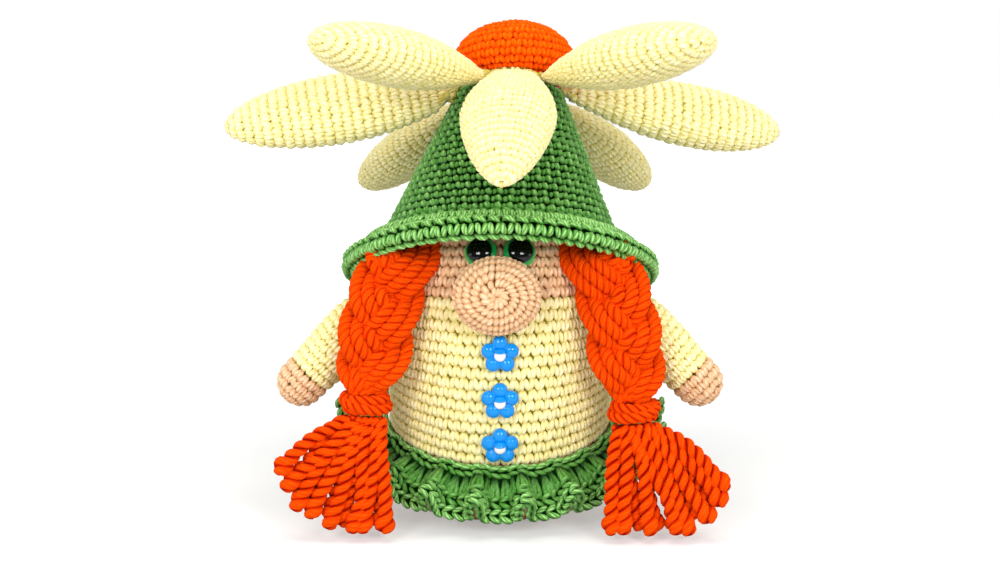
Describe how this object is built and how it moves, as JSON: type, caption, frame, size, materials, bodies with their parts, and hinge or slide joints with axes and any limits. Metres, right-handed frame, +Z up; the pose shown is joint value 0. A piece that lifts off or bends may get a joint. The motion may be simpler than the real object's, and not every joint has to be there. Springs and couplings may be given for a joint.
{
  "type": "crocheted gnome doll",
  "caption": "Stuffed crocheted gnome with a daisy on its tall brimmed hat, a big round nose, flower buttons, two plaits with loose tassels and a ruffled skirt.",
  "frame": {"origin": "on the flat seat, under the middle of the doll", "axes": "+Z up, face towards -Y, +X to the right as seen from the front"},
  "size_m": [0.2227, 0.1805, 0.1911],
  "materials": {
    "skin_yarn": "crocheted cotton yarn",
    "cream_yarn": "crocheted cotton yarn",
    "green_yarn": "crocheted cotton yarn",
    "orange_yarn": "crocheted cotton yarn",
    "hair_yarn": "twisted soft cord",
    "fibre": "loose fibre",
    "blue_plastic": "gloss",
    "white_bead": "gloss",
    "black_bead": "gloss",
    "eye_plastic": "gloss",
    "washer_plastic": "matt"
  },
  "bodies": {
    "body": {"base_cover": "skin_yarn", "shirt_cover": "cream_yarn", "head_cover": "skin_yarn", "body_stuffing": "fibre", "skirt_ruffle": "green_yarn", "hat_crown": "green_yarn", "hat_brim": "green_yarn", "hat_stuffing": "fibre", "brim_bead": "black_bead", "daisy_middle": "orange_yarn", "eye_left": "eye_plastic", "eye_washer_left": "washer_plastic", "eye_right": "eye_plastic", "eye_washer_right": "washer_plastic", "nose": "skin_yarn", "button_top": "blue_plastic", "button_top_bead": "white_bead", "button_middle": "blue_plastic", "button_middle_bead": "white_bead", "button_bottom": "blue_plastic", "button_bottom_bead": "white_bead"},
    "petal_front_body": {"petal_front": "cream_yarn"},
    "petal_front_right_body": {"petal_front_right": "cream_yarn"},
    "petal_right_body": {"petal_right": "cream_yarn"},
    "petal_back_right_body": {"petal_back_right": "cream_yarn"},
    "petal_back_left_body": {"petal_back_left": "cream_yarn"},
    "petal_left_body": {"petal_left": "cream_yarn"},
    "petal_front_left_body": {"petal_front_left": "cream_yarn"},
    "arm_left": {"arm_sleeve_left": "cream_yarn", "hand_left": "skin_yarn"},
    "plait_left_body": {"plait_left": "hair_yarn", "plait_tie_left": "hair_yarn"},
    "tassel_left_body": {"tassel_left": "hair_yarn"},
    "arm_right": {"arm_sleeve_right": "cream_yarn", "hand_right": "skin_yarn"},
    "plait_right_body": {"plait_right": "hair_yarn", "plait_tie_right": "hair_yarn"},
    "tassel_right_body": {"tassel_right": "hair_yarn"}
  },
  "joints": [
    {"name": "petal_front_bend", "type": "hinge", "parent": "body", "child": "petal_front_body", "pos_m": [0.00486, -0.00239, 0.1695], "axis": [-0.9986, 0.0523, 0], "range_deg": [-8, 15]},
    {"name": "petal_front_right_bend", "type": "hinge", "parent": "body", "child": "petal_front_right_body", "pos_m": [0.01745, 0.00153, 0.16813], "axis": [-0.7771, -0.6293, 0], "range_deg": [-8, 15]},
    {"name": "petal_right_bend", "type": "hinge", "parent": "body", "child": "petal_right_body", "pos_m": [0.0241, 0.01743, 0.16317], "axis": [0.1219, -0.9925, 0], "range_deg": [-8, 15]},
    {"name": "petal_back_right_bend", "type": "hinge", "parent": "body", "child": "petal_back_right_body", "pos_m": [0.01682, 0.0294, 0.15961], "axis": [0.7986, -0.6018, 0], "range_deg": [-8, 15]},
    {"name": "petal_back_left_bend", "type": "hinge", "parent": "body", "child": "petal_back_left_body", "pos_m": [-0.00668, 0.02842, 0.16024], "axis": [0.7431, 0.6691, 0], "range_deg": [-8, 15]},
    {"name": "petal_left_bend", "type": "hinge", "parent": "body", "child": "petal_left_body", "pos_m": [-0.01264, 0.01343, 0.16491], "axis": [-0.1045, 0.9945, 0], "range_deg": [-8, 15]},
    {"name": "petal_front_left_bend", "type": "hinge", "parent": "body", "child": "petal_front_left_body", "pos_m": [-0.00633, 0.00192, 0.16834], "axis": [-0.7547, 0.6561, 0], "range_deg": [-8, 15]},
    {"name": "arm_left_lift", "type": "hinge", "parent": "body", "child": "arm_left", "pos_m": [-0.04637, -0.02474, 0.08361], "axis": [0, 1, 0], "range_deg": [0, 20]},
    {"name": "plait_left_swing", "type": "hinge", "parent": "body", "child": "plait_left_body", "pos_m": [-0.038, -0.0385, 0.102], "axis": [-1, 0, 0], "range_deg": [0, 18]},
    {"name": "tassel_left_swing", "type": "hinge", "parent": "plait_left_body", "child": "tassel_left_body", "pos_m": [-0.0498, -0.046, 0.0371], "axis": [-1, 0, 0], "range_deg": [0, 24]},
    {"name": "arm_right_lift", "type": "hinge", "parent": "body", "child": "arm_right", "pos_m": [0.04637, -0.02474, 0.08361], "axis": [0, -1, 0], "range_deg": [0, 20]},
    {"name": "plait_right_swing", "type": "hinge", "parent": "body", "child": "plait_right_body", "pos_m": [0.038, -0.0385, 0.102], "axis": [-1, 0, 0], "range_deg": [0, 18]},
    {"name": "tassel_right_swing", "type": "hinge", "parent": "plait_right_body", "child": "tassel_right_body", "pos_m": [0.0498, -0.046, 0.0341], "axis": [-1, 0, 0], "range_deg": [0, 24]}
  ]
}
